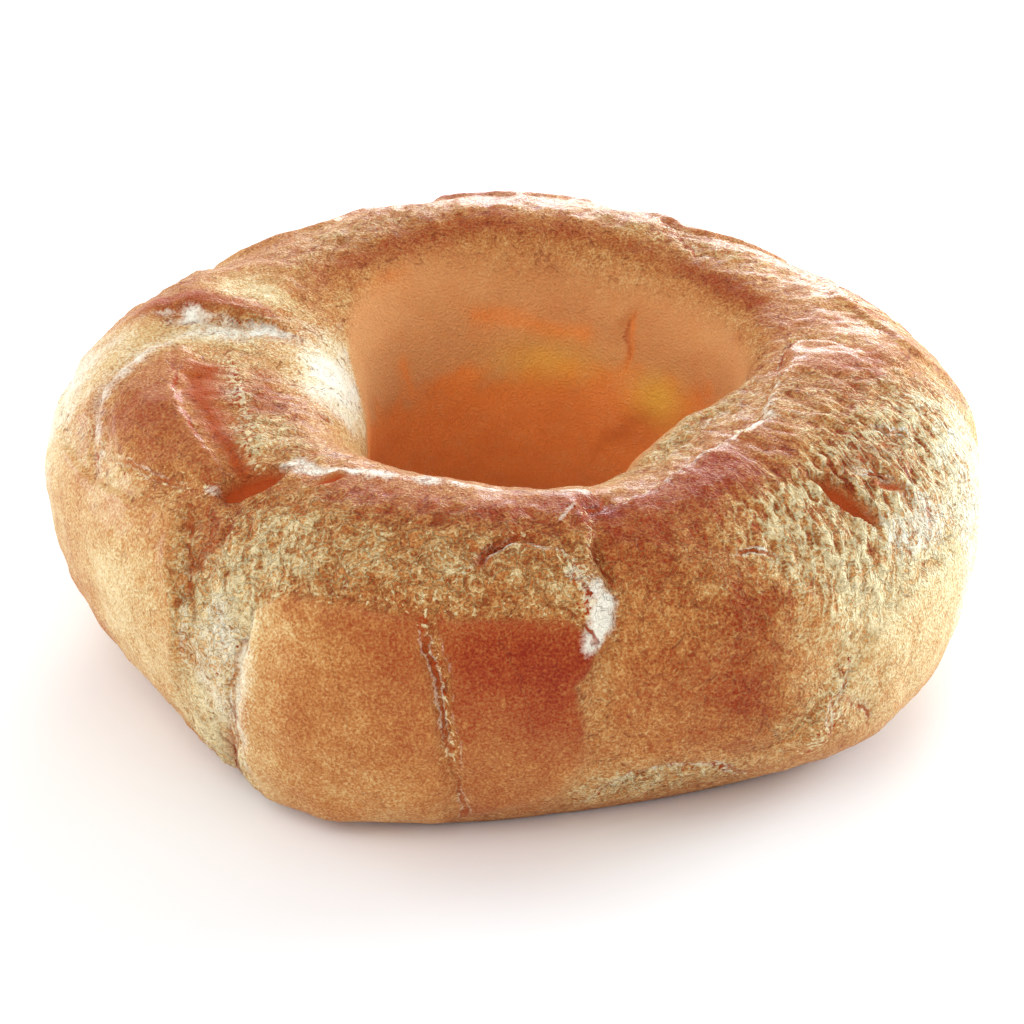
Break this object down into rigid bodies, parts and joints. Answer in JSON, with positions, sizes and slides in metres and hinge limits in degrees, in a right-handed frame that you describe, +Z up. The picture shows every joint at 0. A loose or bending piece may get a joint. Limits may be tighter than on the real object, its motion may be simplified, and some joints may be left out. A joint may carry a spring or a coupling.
{
  "type": "paris brest choux ring",
  "caption": "Baked choux pastry ring, uncut and unfilled, with puffed uneven lobes, a flat foot and a round hole through the middle.",
  "frame": {"origin": "middle of the bounding box, on the surface that the ring stands on", "axes": "+Z up through the hole, -Y the front of the ring, +X to its right"},
  "size_m": [0.1008, 0.096, 0.0368],
  "materials": {
    "crust": "golden brown baked crust, satin with a rough grain"
  },
  "bodies": {
    "root": {"choux_ring": "crust"}
  },
  "joints": []
}
